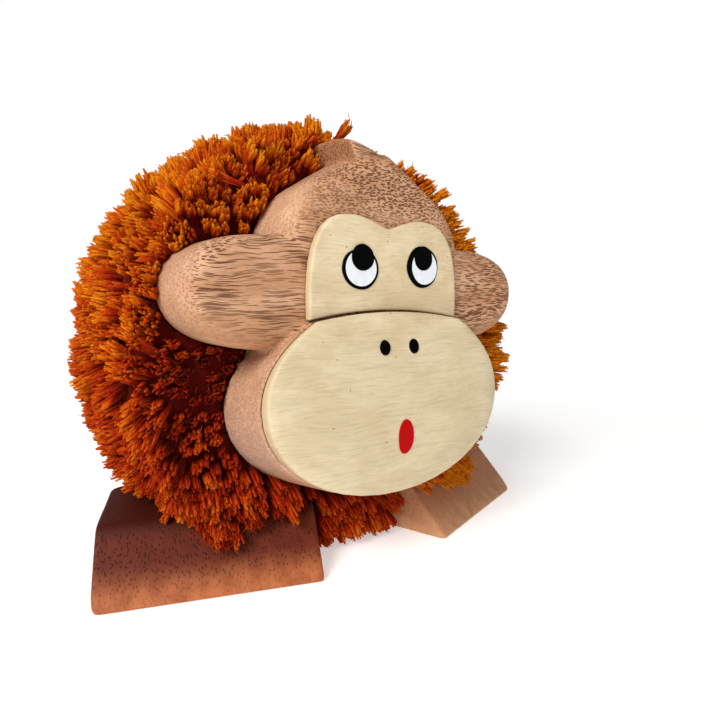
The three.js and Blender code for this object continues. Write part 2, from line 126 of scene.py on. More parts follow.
def mottled(cloud, look, low=0.34, high=0.66):
    # from the deep to the light colour as the cloud grows
    return blend(step(cloud, low, high), look["deep"], look["light"])


def startMaterial(name):
    material = bpy.data.materials.new(name)
    material.use_nodes = True
    tree = material.node_tree
    wire = Wire(tree)
    return material, wire, tree.nodes["Principled BSDF"]


def feed(shader, name, wire):
    wire.tree.links.new(wire.socket, shader.inputs[name])


def millimetres(wire, turn=0.0):
    place = wire.node("ShaderNodeTexCoord", {}, {}, "Object")
    return wire.node("ShaderNodeMapping", {}, {"Vector": place, "Rotation": (0.0, 0.0, turn),
                                               "Scale": (toMm, toMm, toMm)})


def bent(place, sizes, amount):
    # the place pushed about by noise, so that straight grain wanders
    push = noiseOf(place, sizes, 1.0, 0.5, "Color")
    return place.node("ShaderNodeVectorMath", {"operation": "MULTIPLY_ADD"},
                      {0: push, 1: amount, 2: place})


def axisOf(place, name):
    return place.node("ShaderNodeSeparateXYZ", {}, {"Vector": place}, name)


def bumped(height, depth, strength):
    return height.node("ShaderNodeBump", {}, {"Height": height, "Distance": depth, "Strength": strength},
                       "Normal")


# in the looks, noise has sizes, detail and roughness, pores have sizes and the two edges of a mark,
# a bump has depth and strength, and other pairs are where a change begins and ends
headLook = {
    "light": tint(218, 170, 134), "deep": tint(194, 142, 104), "pore": tint(98, 54, 33),
    "end": tint(198, 152, 122), "lowEnd": tint(208, 178, 162), "domeLitEnd": tint(224, 180, 143),
    "lickShadeEnd": tint(150, 92, 54),
    "wander": ((16.0, 16.0, 11.0), (1.0, 2.0, 3.4)), "waver": ((4.5, 3.0, 3.0), (0.5, 0.6, 0.9)),
    "cloud": ((22.0, 9.0, 5.5), 3.0, 0.55), "dust": ((1.2, 0.35, 0.35), 2.0, 0.6),
    "longMarks": ((7.0, 0.6, 0.27), 0.34, 0.50), "shortMarks": ((1.1, 0.5, 0.34), 0.38, 0.54),
    "dots": ((0.9, 0.45, 0.55), 0.32, 0.52), "arcs": ((2.8, 0.6, 0.34), 0.38, 0.55),
    "patch": ((14.0, 9.0, 8.0), 1.0), "patchStep": (0.34, 0.60), "patchLow": 0.65,
    "middle": -1.3, "earTop": (79.0, 85.0), "earSide": (17.0, 21.0), "crown": (92.5, 95.5),
    "arcSide": (15.0, 20.0), "muzzleTop": (44.0, 49.0), "muzzleSlope": 0.3, "muzzleFade": 0.7,
    "endGrain": (0.45, 0.80), "endDots": 0.8, "endShare": 0.5, "sideRise": (24.0, 46.0),
    "domeRise": (72.0, 84.0), "lickRise": (88.0, 91.5), "lickShadeShare": 0.7, "lickShadeDots": 0.55,
    "poreShare": 0.9, "dustStep": (0.42, 0.62), "dustShare": 0.12, "endDust": 0.16,
    "rough": 0.62, "poreRough": 0.16, "shine": 0.25, "bump": (0.00014, 0.7), "dustDepth": 0.25,
}


def headWood(look):
    material, wire, shader = startMaterial("brown_hardwood")
    place = millimetres(wire)
    fibre = bent(place, *look["wander"])
    fine = bent(fibre, *look["waver"])
    height = axisOf(place, "Z")
    aside = abs(axisOf(place, "X") - look["middle"])
    # long marks lie on the ears and the crown, short ones on the rest
    longZone = (1.0 - step(height, *look["earTop"])) * step(aside, *look["earSide"])
    longZone = longZone + step(height, *look["crown"]) * (1.0 - longZone)
    faces = wire.node("ShaderNodeNewGeometry", {}, {}, "Normal")
    endGrain = step(abs(axisOf(faces, "X")), *look["endGrain"])
    body = mottled(noiseOf(fibre, *look["cloud"]), look)
    longMarks, shortMarks, dots, arcs = [
        poresOf(fine, *look[key]) for key in ("longMarks", "shortMarks", "dots", "arcs")]
    longMarks = longMarks + step(axisOf(place, "X"), *look["arcSide"]) * (arcs - longMarks)
    patch = step(noiseOf(fibre, *look["patch"]), *look["patchStep"])
    patch = look["patchLow"] + (1.0 - look["patchLow"]) * patch
    marks = longMarks * longZone * patch + shortMarks * (1.0 - longZone) * patch
    onMuzzle = 1.0 - step(height - look["muzzleSlope"] * aside, *look["muzzleTop"])
    marks = marks * (1.0 - endGrain) * (1.0 - look["muzzleFade"] * onMuzzle)
    marks = marks + look["endDots"] * dots * endGrain
    colour = blend(marks * look["poreShare"], body, look["pore"])
    dust = noiseOf(fine, *look["dust"])
    dusty = (look["dustShare"] + look["endDust"] * endGrain) * step(dust, *look["dustStep"])
    colour = blend(dusty, colour, look["pore"])
    sideEnd = blend(step(height, *look["sideRise"]), look["lowEnd"], look["end"])
    # painted light: end grain high on the dome, where it turns up toward the lamps, is drawn lighter
    end = blend(step(height, *look["domeRise"]), sideEnd, look["domeLitEnd"])
    colour = blend(look["endShare"] * endGrain, colour, end)
    # painted shade: the crown tuft's end grain is drawn darker, with its pores stronger, for the shade of
    # the yarn around it
    onLick = step(height, *look["lickRise"])
    colour = blend(look["lickShadeShare"] * endGrain * onLick, colour, look["lickShadeEnd"])
    colour = blend(look["lickShadeDots"] * dots * endGrain * onLick, colour, look["pore"])
    feed(shader, "Base Color", colour)
    feed(shader, "Roughness", look["rough"] + look["poreRough"] * marks)
    shader.inputs["Specular IOR Level"].default_value = look["shine"]
    feed(shader, "Normal", bumped(0.8 - marks - look["dustDepth"] * dust, *look["bump"]))
    return material


paleLook = {
    "light": tint(233, 214, 178), "deep": tint(212, 189, 148), "band": tint(206, 192, 157),
    "speck": tint(120, 92, 60), "edge": tint(196, 170, 132), "seamShade": tint(66, 40, 24),
    "wander": ((20.0, 20.0, 9.0), (0.0, 0.0, 4.0)), "cloud": ((15.0, 10.0, 9.0), 4.0, 0.68),
    "streak": ((12.0, 3.0, 0.8), 3.0, 0.6), "streakStep": (0.44, 0.68), "streakShare": 0.3,
    "lowShadeBand": (50.0, 62.0), "lowShadeShare": 0.35,
    "thread": ((6.0, 1.0, 0.28), 2.0, 0.6), "threadStep": (0.48, 0.66), "threadShare": 0.16,
    "specks": ((0.8, 0.8, 0.6), 0.0), "speckStep": (0.845, 0.89), "speckShare": 0.75,
    "edgeStep": (0.4, 0.85), "edgeShare": 0.8, "seamShadeShare": 0.95,
    "rough": 0.55, "streakRough": 0.12, "bump": (0.00005, 0.6),
}


def paleWood(name, look, back, seamShadeWide):
    material, wire, shader = startMaterial(name)
    place = millimetres(wire)
    fibre = bent(place, *look["wander"])
    body = mottled(noiseOf(fibre, *look["cloud"]), look)
    streak = noiseOf(fibre, *look["streak"])
    # painted shade: low down, where the plate turns downward, it is toned toward the band colour
    below = 1.0 - step(axisOf(place, "Z"), *look["lowShadeBand"])
    banded = look["streakShare"] * step(streak, *look["streakStep"]) + look["lowShadeShare"] * below
    body = blend(banded, body, look["band"])
    thread = noiseOf(fibre, *look["thread"])
    body = blend(look["threadShare"] * step(thread, *look["threadStep"]), body, look["speck"])
    speck = step(noiseOf(place, *look["specks"]), *look["speckStep"])
    faces = wire.node("ShaderNodeNewGeometry", {}, {}, "Normal")
    # painted shade: faces turned sideways are drawn darker
    edge = step(abs(axisOf(faces, "X")), *look["edgeStep"])
    body = blend(look["edgeShare"] * edge, body, look["edge"])
    colour = blend(look["speckShare"] * speck, body, look["speck"])
    # painted shade: a dark seam along the back, where the plate meets the head board
    seam = step(axisOf(place, "Y"), back - seamShadeWide, back - 0.5 * seamShadeWide)
    colour = blend(look["seamShadeShare"] * seam, colour, look["seamShade"])
    feed(shader, "Base Color", colour)
    feed(shader, "Roughness", look["rough"] + look["streakRough"] * streak)
    feed(shader, "Normal", bumped(thread, *look["bump"]))
    return material


footGrain = {
    "wander": ((12.0, 16.0, 12.0), (1.6, 1.0, 1.6)), "cloud": ((3.0, 24.0, 3.0), 3.0, 0.55),
    "upperRise": (0.8, 7.5), "upperShare": 0.9, "crownShadowRise": (10.5, 13.5), "crownShadowShare": 0.8,
    "marks": ((0.6, 1.2, 0.95), 0.22, 0.38), "lowMarks": 0.30, "markRough": 0.12, "shine": 0.2,
    "bump": (0.0001, 0.6),
}
# both feet are one wood; the left foot's deeper, redder tints and the right foot's paler, greyer ones are
# painted light and shade
leftFootLook = {
    **footGrain, "turn": math.radians(19.0), "light": tint(190, 112, 68), "deep": tint(166, 92, 54),
    "shadedUpper": tint(84, 17, 7), "crown": tint(64, 19, 10), "pore": tint(54, 18, 10),
    "poreShare": 0.8, "rough": 0.5,
}
rightFootLook = {
    **footGrain, "turn": math.radians(-19.0), "light": tint(204, 152, 112), "deep": tint(182, 130, 94),
    "shadedUpper": tint(188, 130, 94), "crown": tint(170, 112, 80), "pore": tint(104, 68, 50),
    "poreShare": 0.35, "rough": 0.52,
}


def footWood(name, look):
    material, wire, shader = startMaterial(name)
    place = millimetres(wire, look["turn"])
    fibre = bent(place, *look["wander"])
    body = mottled(noiseOf(fibre, *look["cloud"]), look)
    height = axisOf(place, "Z")
    # painted shadow: the upper part of each foot is darkened, and its top darker still, for the shade of
    # the yarn hanging over it
    shadedUpper = step(height, *look["upperRise"])
    body = blend(look["upperShare"] * shadedUpper, body, look["shadedUpper"])
    body = blend(look["crownShadowShare"] * step(height, *look["crownShadowRise"]), body, look["crown"])
    marks = poresOf(fibre, *look["marks"])
    marks = marks * (look["lowMarks"] + (1.0 - look["lowMarks"]) * shadedUpper)
    colour = blend(look["poreShare"] * marks, body, look["pore"])
    feed(shader, "Base Color", colour)
    feed(shader, "Roughness", look["rough"] + look["markRough"] * marks)
    shader.inputs["Specular IOR Level"].default_value = look["shine"]
    feed(shader, "Normal", bumped(1.0 - marks, *look["bump"]))
    return material


plainGrain = {"wander": ((12.0, 18.0, 12.0), (2.0, 1.0, 2.0)), "cloudStep": (0.35, 0.65),
              "rough": 0.55, "grainRough": 0.2, "bump": (0.0001, 0.5)}
coreLook = {**plainGrain, "grain": ((2.0, 16.0, 2.0), 3.0, 0.6),
            "light": tint(214, 184, 140), "deep": tint(188, 152, 106)}
dowelLook = {**plainGrain, "grain": ((0.9, 0.9, 14.0), 3.0, 0.6),
             "light": tint(222, 196, 152), "deep": tint(198, 166, 118)}
cordLook = {**plainGrain, "grain": ((0.8, 0.8, 0.8), 3.0, 0.6),
            "light": tint(214, 200, 168), "deep": tint(160, 140, 104)}


def plainGrained(name, look):
    material, wire, shader = startMaterial(name)
    place = millimetres(wire)
    fibre = bent(place, *look["wander"])
    grain = noiseOf(fibre, *look["grain"])
    feed(shader, "Base Color", mottled(grain, look, *look["cloudStep"]))
    feed(shader, "Roughness", look["rough"] + look["grainRough"] * grain)
    feed(shader, "Normal", bumped(grain, *look["bump"]))
    return material


coatGrain = {"cover": ((1.6, 1.6, 2.4), 3.0, 0.6), "coverStep": (0.3, 0.7), "coverRough": 0.15,
             "bump": (0.00004, 0.6)}
blackLook = {**coatGrain, "thin": tint(5, 5, 6), "full": tint(2, 2, 3), "rough": 0.5, "shine": 0.03}
whiteLook = {**coatGrain, "thin": tint(228, 233, 240), "full": tint(238, 242, 247), "rough": 0.45,
             "shine": 0.3}
redLook = {**coatGrain, "thin": tint(178, 2, 3), "full": tint(190, 0, 1), "rough": 0.5, "shine": 0.08}


def paint(name, look):
    material, wire, shader = startMaterial(name)
    place = millimetres(wire)
    cover = noiseOf(place, *look["cover"])
    feed(shader, "Base Color", blend(step(cover, *look["coverStep"]), look["thin"], look["full"]))
    feed(shader, "Roughness", look["rough"] + look["coverRough"] * cover)
    shader.inputs["Specular IOR Level"].default_value = look["shine"]
    feed(shader, "Normal", bumped(cover, *look["bump"]))
    return material


headMaterial = headWood(headLook)
faceMaterial = paleWood("face_softwood", paleLook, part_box("face_plate")[1].y * toMm, seamShadeWide=0.4)
muzzleMaterial = paleWood("muzzle_softwood", paleLook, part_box("muzzle_plate")[1].y * toMm, seamShadeWide=1.0)
blackMaterial = paint("black_paint_coat", blackLook)
whiteMaterial = paint("white_paint_coat", whiteLook)
redMaterial = paint("red_paint_coat", redLook)
print("wood and paint made")


def smoothShade(mesh):
    mesh.polygons.foreach_set("use_smooth", [True] * len(mesh.polygons))


def newPiece(name, mesh, material):
    obj = bpy.data.objects.new(name, mesh)
    scene.collection.objects.link(obj)
    mesh.materials.clear()
    mesh.materials.append(material)
    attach(obj, "root")
    return obj


def settle(obj):
    # makes the modifiers part of the mesh
    graph = bpy.context.evaluated_depsgraph_get()
    mesh = bpy.data.meshes.new_from_object(obj.evaluated_get(graph))
    obj.modifiers.clear()
    obj.data = mesh


weldGap, easeShare = 2e-5, 0.5


def skinOf(nodeName, settings, material):
    # the CAD solid as a fine closed skin with its edges eased
    bm = bmesh.new()
    bm.from_mesh(nodes[nodeName].data)
    bmesh.ops.remove_doubles(bm, verts=bm.verts, dist=weldGap)
    mesh = bpy.data.meshes.new(nodeName + "_skin")
    bm.to_mesh(mesh)
    bm.free()
    obj = newPiece(nodeName + "_skin", mesh, material)
    skin = obj.modifiers.new("skin", "REMESH")
    skin.mode, skin.voxel_size = "VOXEL", settings["voxel"]
    ease = obj.modifiers.new("ease", "SMOOTH")
    ease.factor, ease.iterations = easeShare, settings["ease"]
    settle(obj)
    obj.data.materials.clear()
    obj.data.materials.append(material)
    smoothShade(obj.data)
    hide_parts(nodeName)
    return obj


headSettings = {"voxel": 0.00045, "ease": 7}
plateSettings = {"voxel": 0.00022, "ease": 3}
muzzleSettings = {"voxel": 0.00028, "ease": 3}
footSettings = {"voxel": 0.00040, "ease": 14}
head = skinOf("head_board", headSettings, headMaterial)
facePlate = skinOf("face_plate", plateSettings, faceMaterial)
muzzlePlate = skinOf("muzzle_plate", muzzleSettings, muzzleMaterial)
leftFoot = skinOf("left_foot", footSettings, footWood("left_foot_wood", leftFootLook))
rightFoot = skinOf("right_foot", footSettings, footWood("right_foot_wood", rightFootLook))
print("wooden pieces made")


def treeOf(obj):
    bm = bmesh.new()
    bm.from_mesh(obj.data)
    tree = BVHTree.FromBMesh(bm)
    bm.free()
    return tree


faceTree, muzzleTree = treeOf(facePlate), treeOf(muzzlePlate)
oval = {"sides": 56, "rings": 5, "inset": 0.17, "wobbleSize": 1.3, "dropFrom": -1.0}


def paintSpot(nodeName, seat, spot, material):
    # an uneven oval of paint laid on the wood; centre and half sizes are x and z in millimetres
    bm = bmesh.new()
    bmesh.ops.create_circle(bm, cap_ends=True, segments=oval["sides"], radius=1.0)
    for _ in range(oval["rings"]):
        inner = max(bm.faces, key=lambda f: len(f.verts))
        bmesh.ops.inset_region(bm, faces=[inner], thickness=oval["inset"])
    x, z = (v * mm for v in spot["centre"])
    wide, high = (v * mm for v in spot["half"])
    place = Matrix.Translation((x, 0.0, z)) @ Matrix.Rotation(math.radians(90.0), 4, "X")
    size = oval["wobbleSize"]
    for v in bm.verts:
        angle = math.atan2(v.co.y, v.co.x)
        wobble = noise.noise(Vector((math.cos(angle) * size, math.sin(angle) * size, spot["seed"])))
        point = v.co * (1.0 + spot["wobble"] * wobble)
        lean = spot.get("lean", 0.0) * point.y
        v.co = place @ Vector((point.x * wide + lean * wide, point.y * high, 0.0))
        hit = seat.ray_cast(Vector((v.co.x, oval["dropFrom"], v.co.z)), Vector((0.0, 1.0, 0.0)))[0]
        v.co.y = hit.y - spot["lift"] * mm
    bmesh.ops.recalc_face_normals(bm, faces=bm.faces)
    if sum(f.normal.y for f in bm.faces) > 0:
        bmesh.ops.reverse_faces(bm, faces=bm.faces)
    bmesh.ops.solidify(bm, geom=bm.faces[:], thickness=spot["coat"] * mm)
    bmesh.ops.recalc_face_normals(bm, faces=bm.faces)
    mesh = bpy.data.meshes.new(nodeName + "_paint")
    bm.to_mesh(mesh)
    bm.free()
    obj = newPiece(nodeName + "_paint", mesh, material)
    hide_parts(nodeName)


outlineCoat = {"wobble": 0.05, "lift": 0.14, "coat": 0.10}
whiteCoat = {"wobble": 0.02, "lift": 0.22, "coat": 0.07}
pupilCoat = {"wobble": 0.03, "lift": 0.32, "coat": 0.09}
plateCoat = {"wobble": 0.04, "lift": 0.18, "coat": 0.12}
leftOutline = {**outlineCoat, "centre": (-9.55, 69.25), "half": (4.95, 4.45), "seed": 3.1}
leftWhite = {**whiteCoat, "centre": (-9.4, 69.35), "half": (4.15, 3.9), "seed": 5.2}
leftPupil = {**pupilCoat, "centre": (-9.05, 71.7), "half": (3.0, 2.85), "seed": 8.4}
rightOutline = {**outlineCoat, "centre": (8.45, 70.2), "half": (4.85, 4.85), "seed": 1.7}
rightWhite = {**whiteCoat, "centre": (9.1, 70.1), "half": (3.9, 4.0), "seed": 4.4}
rightPupil = {**pupilCoat, "centre": (8.65, 72.25), "half": (2.8, 2.8), "seed": 9.9}


def spotOn(nodeName, seed, lean=0.0):
    # an oval where the CAD coat lies
    low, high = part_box(nodeName)
    middle, half = (low + high) * (0.5 * toMm), (high - low) * (0.5 * toMm)
    return {**plateCoat, "centre": (middle.x, middle.z), "half": (half.x, half.z), "seed": seed,
            "lean": lean}


paintSpot("left_eye_outline", faceTree, leftOutline, blackMaterial)
paintSpot("left_eye_white", faceTree, leftWhite, whiteMaterial)
paintSpot("left_pupil", faceTree, leftPupil, blackMaterial)
paintSpot("right_eye_outline", faceTree, rightOutline, blackMaterial)
paintSpot("right_eye_white", faceTree, rightWhite, whiteMaterial)
paintSpot("right_pupil", faceTree, rightPupil, blackMaterial)
paintSpot("left_nostril", muzzleTree, spotOn("left_nostril", 2.2), blackMaterial)
paintSpot("right_nostril", muzzleTree, spotOn("right_nostril", 6.3), blackMaterial)
paintSpot("mouth", muzzleTree, spotOn("mouth", 7.5, lean=0.18), redMaterial)
print("paint laid on")


# where the yarn ends stand, in millimetres; a dent has a place, a width and a depth
yarn = {
    "seed": 11, "swirlSeed": 9, "tries": 120000, "collarTries": 20000, "sectors": 8,
    "centre": (-1.3, -5.35, 49.545), "ball": 58.0, "tuft": 3.2, "valley": 0.8, "outward": 0.2,
    "low": 20.0, "lowReach": 34.0, "spacing": 2.4, "denseSpacing": 1.8,
    "denseRim": (30.0, -12.0, 20.0, 90.0), "denseFringe": (27.0, -15.0),
    "collar": -31.0, "collarWide": 53.0, "collarLow": 11.0, "betweenFeet": 17.0, "betweenLow": 4.0,
    "lookBack": 5.0, "lookFar": 100.0, "headGap": 0.9, "lookNear": 3.0, "footTop": 16.0, "footGap": 0.8,
    "lickAt": (-14.0, 95.0), "lickWide": (7.0, 7.0), "lickBack": 2.0,
    "notchAt": (-38.0, 47.0), "notchWide": (8.0, 7.0), "notchBack": 2.4, "notchShade": 0.6,
    "lowHeight": 0.8, "collarHeight": 0.45, "stand": 1.7, "standSpread": 0.4,
    "clump": 8.0, "gather": 0.16, "clumpRise": 0.6, "clumpFall": 0.10, "fallPower": 1.5,
    "clumpLean": 0.30, "stray": 0.18, "swirl": 24.0, "swirlShare": 0.7, "swayShare": 0.6,
    "facing": 0.28, "collarFacing": 0.75, "liftRange": (-9.0, 6.0), "shift": (-1.2, 0.0, 0.5),
    "length": 9.0, "lengthSpread": (0.85, 1.1), "collarRoot": (0.0, 7.0, 0.0), "collarRootIn": 2.5,
    "hangBelow": (30.0, 12.0), "hangAhead": (-12.0, 10.0), "footFrom": (11.0, 6.0),
    "footMiddle": (22.0, 9.0), "footHang": (0.45, 0.8), "droop": (0.0, -2.3, -1.9),
    "footDroop": (0.0, -6.4, -2.2), "tipFloor": 2.0,
    "tipTone": 0.74, "heightShade": 0.09, "liftShade": 0.06, "toneRange": (0.3, 1.05),
    "dents": [((6.0, -29.5, 101.3), 10.0, 11.5), ((-7.0, -27.0, 103.0), 5.0, -3.5),
              ((27.0, -30.0, 93.5), 6.0, -1.5), ((39.0, -29.0, 83.0), 9.0, 1.5),
              ((50.0, -27.0, 45.0), 20.0, -5.5)],
}
woolLook = {
    "hair": ((0.5, 0.5, 1.4), 2.0, 0.65), "drift": ((9.0, 9.0, 9.0), 1.0),
    "paleSide": (0.0, 26.0), "paleSlope": 0.25, "paleLevel": 40.0, "paleBack": (-28.0, -10.0),
    "lowRise": (20.0, 80.0), "lowPale": 0.8, "toneShare": 0.30, "hairShare": 0.95, "driftShare": 0.25,
    "lowShadeShare": 0.27, "paleShare": 0.30,
    # the ramp is the yarn's rust colour with painted shade toward the roots, deeper in the ball
    "stops": [(0.0, tint(78, 5, 3)), (0.34, tint(150, 24, 4)), (0.58, tint(184, 57, 4)),
              (0.80, tint(208, 99, 6)), (1.0, tint(222, 131, 16))],
    "rough": 0.75, "hairRough": 0.2, "bump": (0.0004, 0.8), "shine": 0.08,
    "sheen": 0.25, "sheenRough": 0.5, "sheenTint": tint(214, 112, 20),
}


def yarnMaterial(look):
    material, wire, shader = startMaterial("rust_wool")
    along = wire.node("ShaderNodeAttribute", {"attribute_name": "along"}, {}, "Fac")
    tone = wire.node("ShaderNodeAttribute", {"attribute_name": "tone"}, {}, "Fac")
    lie = wire.node("ShaderNodeAttribute", {"attribute_name": "lie"}, {}, "Vector")
    place = millimetres(wire)
    hair = noiseOf(lie, *look["hair"])
    drift = noiseOf(place, *look["drift"])
    # paler on the front's right side, partly the yarn's own paler tone and partly painted light on tufts
    # the crown tuft shades; deeper low down, as painted shade
    sideways = axisOf(place, "X") + look["paleSlope"] * (axisOf(place, "Z") - look["paleLevel"])
    paleToneAndLight = step(sideways, *look["paleSide"]) * (1.0 - step(axisOf(place, "Y"), *look["paleBack"]))
    lower = (1.0 - step(axisOf(place, "Z"), *look["lowRise"])) * (1.0 - look["lowPale"] * paleToneAndLight)
    # the place along each end darkens toward its root, painted shade
    reach = along + look["toneShare"] * (tone - 0.5) + look["hairShare"] * (hair - 0.5)
    reach = reach + look["driftShare"] * (drift - 0.5) - look["lowShadeShare"] * lower
    reach = reach + look["paleShare"] * paleToneAndLight
    colour = wire.node("ShaderNodeValToRGB", {"stops": look["stops"]}, {"Fac": reach}, "Color")
    feed(shader, "Base Color", colour)
    feed(shader, "Roughness", look["rough"] + look["hairRough"] * hair)
    feed(shader, "Normal", bumped(hair, *look["bump"]))
    shader.inputs["Specular IOR Level"].default_value = look["shine"]
    shader.inputs["Sheen Weight"].default_value = look["sheen"]
    shader.inputs["Sheen Roughness"].default_value = look["sheenRough"]
    shader.inputs["Sheen Tint"].default_value = look["sheenTint"]
    return material


woolMaterial = yarnMaterial(woolLook)
centre = np.array(yarn["centre"])
rng = np.random.default_rng(yarn["seed"])
noise.seed_set(yarn["swirlSeed"])


def unit(vectors):
    return vectors / np.linalg.norm(vectors, axis=-1, keepdims=True)


def bell(points, at, wide):
    # 1 at a place given as x and z, falling off over the widths
    return np.exp(-((points[:, 0] - at[0]) / wide[0]) ** 2 - ((points[:, 2] - at[1]) / wide[1]) ** 2)


def ballPoints(count):
    # points spread over the CAD ball, with the way each face looks
    bm = bmesh.new()
    bm.from_mesh(nodes["yarn_pompom"].data)
    bmesh.ops.triangulate(bm, faces=bm.faces)
    corners = np.array([[v.co for v in f.verts] for f in bm.faces]) * toMm
    bm.free()
    cross = np.cross(corners[:, 1] - corners[:, 0], corners[:, 2] - corners[:, 0])
    area = np.linalg.norm(cross, axis=1)
    pick = rng.choice(len(area), count, p=area / area.sum())
    u, v = rng.random(count), rng.random(count)
    over = u + v > 1.0
    u[over], v[over] = 1.0 - u[over], 1.0 - v[over]
    tri = corners[pick]
    spots = tri[:, 0] + u[:, None] * (tri[:, 1] - tri[:, 0]) + v[:, None] * (tri[:, 2] - tri[:, 0])
    return spots, cross[pick] / area[pick][:, None]


def thinned(spots, gaps):
    # keeps points that lie at least their own gap from those kept before
    cells, kept, widest = {}, [], gaps.max()
    for i, (p, gap) in enumerate(zip(spots, gaps)):
        key = tuple(np.floor(p / widest).astype(int))
        near = (cells.get((key[0] + a, key[1] + b, key[2] + c), ())
                for a in (-1, 0, 1) for b in (-1, 0, 1) for c in (-1, 0, 1))
        if all(((p - spots[j]) ** 2).sum() > gap * gap for group in near for j in group):
            cells.setdefault(key, []).append(i)
            kept.append(i)
    return np.array(kept)


headTree, feetTrees = treeOf(head), [treeOf(leftFoot), treeOf(rightFoot)]
ahead = Vector((0.0, -1.0, 0.0))


def openAhead(place, reach):
    # whether no part of the head lies ahead of a place within the reach, in millimetres
    return headTree.ray_cast(place, ahead, reach * mm)[0] is None


def inFoot(point, margin):
    # whether a point lies in a foot, or nearer to it than the margin in millimetres
    place = Vector(point * mm)
    for tree in feetTrees:
        spot, normal, _, far = tree.find_nearest(place)
        if (place - spot).dot(normal) < 0.0 or far < margin * mm:
            return True
    return False


# only the outer skin of the ball bears ends
spots, looks = ballPoints(yarn["tries"])
fromCentre = np.linalg.norm(spots - centre, axis=1)
outer = ((spots - centre) * looks).sum(1) > yarn["outward"] * fromCentre
onBall = fromCentre > yarn["ball"] - yarn["tuft"] - yarn["valley"]
outer &= onBall | ((spots[:, 2] < yarn["low"]) & (fromCentre > yarn["lowReach"]))
spots, looks = spots[outer], looks[outer]

# a collar of ends fills the room between the head's edge and the front of the ball
disc = rng.uniform(-yarn["collarWide"], yarn["collarWide"], (yarn["collarTries"], 2))
disc = disc[(disc ** 2).sum(1) < yarn["collarWide"] ** 2]
collar = np.stack([disc[:, 0] + centre[0], np.full(len(disc), yarn["collar"]), disc[:, 1] + centre[2]], -1)
between = np.abs(collar[:, 0]) < yarn["betweenFeet"]
collar = collar[collar[:, 2] > np.where(between, yarn["betweenLow"], yarn["collarLow"])]
collar[:, 1] += yarn["lickBack"] * bell(collar, yarn["lickAt"], yarn["lickWide"])
apart = np.array([headTree.find_nearest(Vector(p * mm))[3] for p in collar])
beside = [openAhead(Vector((p[0], yarn["lookBack"], p[2])) * mm, yarn["lookFar"]) for p in collar]
collar = collar[(apart > yarn["headGap"] * mm) & np.array(beside)]
spots = np.concatenate([collar, spots])
looks = np.concatenate([np.tile(ahead, (len(collar), 1)), looks])
x, y, z = spots.T
rimX, rimY, rimLow, rimHigh = yarn["denseRim"]
fringeZ, fringeY = yarn["denseFringe"]
dense = ((x > rimX) & (y < rimY) & (z > rimLow) & (z < rimHigh)) | ((z < fringeZ) & (y < fringeY))
kept = thinned(spots, np.where(dense, yarn["denseSpacing"], yarn["spacing"]))
spots, looks = spots[kept], looks[kept]
inCollar = kept < len(collar)
clear = np.array([openAhead(Vector(p * mm), yarn["lookNear"])
                  and not (p[2] < yarn["footTop"] and inFoot(p, yarn["footGap"])) for p in spots])
spots, looks, inCollar = spots[clear], looks[clear], inCollar[clear]
outward = unit(spots - centre)
count = len(spots)
print("yarn ends:", count)

# the ends lean together in clumps that stand a little higher or lower
height = np.clip(np.linalg.norm(spots - centre, axis=1) - yarn["ball"] + yarn["tuft"], 0.0, yarn["tuft"])
height[spots[:, 2] < yarn["low"]] = yarn["lowHeight"] * yarn["tuft"]
height[inCollar] = yarn["collarHeight"] * yarn["tuft"]
notch = inCollar * bell(spots, yarn["notchAt"], yarn["notchWide"])
highest = np.argsort(-height)
leaders = highest[thinned(spots[highest], np.full(count, yarn["clump"]))]
gap = ((spots[:, None, :] - spots[leaders][None, :, :]) ** 2).sum(2)
mine = gap.argmin(1)
fromLeader = np.sqrt(gap[np.arange(count), mine])
rise = rng.normal(0.0, yarn["clumpRise"], len(leaders))[mine]
fall = yarn["clumpFall"] * inCollar * fromLeader ** yarn["fallPower"]
lift = yarn["stand"] + rise - fall + rng.normal(0.0, yarn["standSpread"], count)
lift -= yarn["notchBack"] * notch
sway = rng.normal(0.0, yarn["clumpLean"], (len(leaders), 3))[mine]
swirl = np.array([noise.noise_vector(Vector(p / yarn["swirl"])) for p in spots])
sway = sway + yarn["swirlShare"] * swirl
face = np.where(inCollar, yarn["collarFacing"], yarn["facing"])[:, None]
stray = rng.normal(0.0, yarn["stray"], spots.shape)
aim = unit((1.0 - face) * outward + face * looks + yarn["swayShare"] * sway + stray)
# painted shade: ends lying lower on the ball or below their neighbours get darker tips, and those in the
# notch between ear and muzzle darker still
tipTone = yarn["tipTone"] + yarn["heightShade"] * height + yarn["liftShade"] * (lift - yarn["stand"])
tipTone = np.clip(tipTone - yarn["notchShade"] * notch, *yarn["toneRange"])
for at, wide, deep in yarn["dents"]:
    lift -= deep * np.exp(-((spots - np.array(at)) ** 2).sum(1) / wide ** 2)
gathered = spots + (spots[leaders][mine] - spots) * yarn["gather"]
tips = gathered + aim * np.clip(lift, *yarn["liftRange"])[:, None]
tips[~inCollar] += np.array(yarn["shift"])
length = yarn["length"] * rng.uniform(*yarn["lengthSpread"], count)
roots = tips - unit(0.5 * outward + 0.5 * aim) * length[:, None]
radial = unit((spots - centre) * np.array([1.0, 0.0, 1.0]))
roots[inCollar] = tips[inCollar] + np.array(yarn["collarRoot"]) - radial[inCollar] * yarn["collarRootIn"]


def grown(value, over):
    # from 0 to 1 as the value grows over a length
    return np.clip(value / over, 0.0, 1.0)


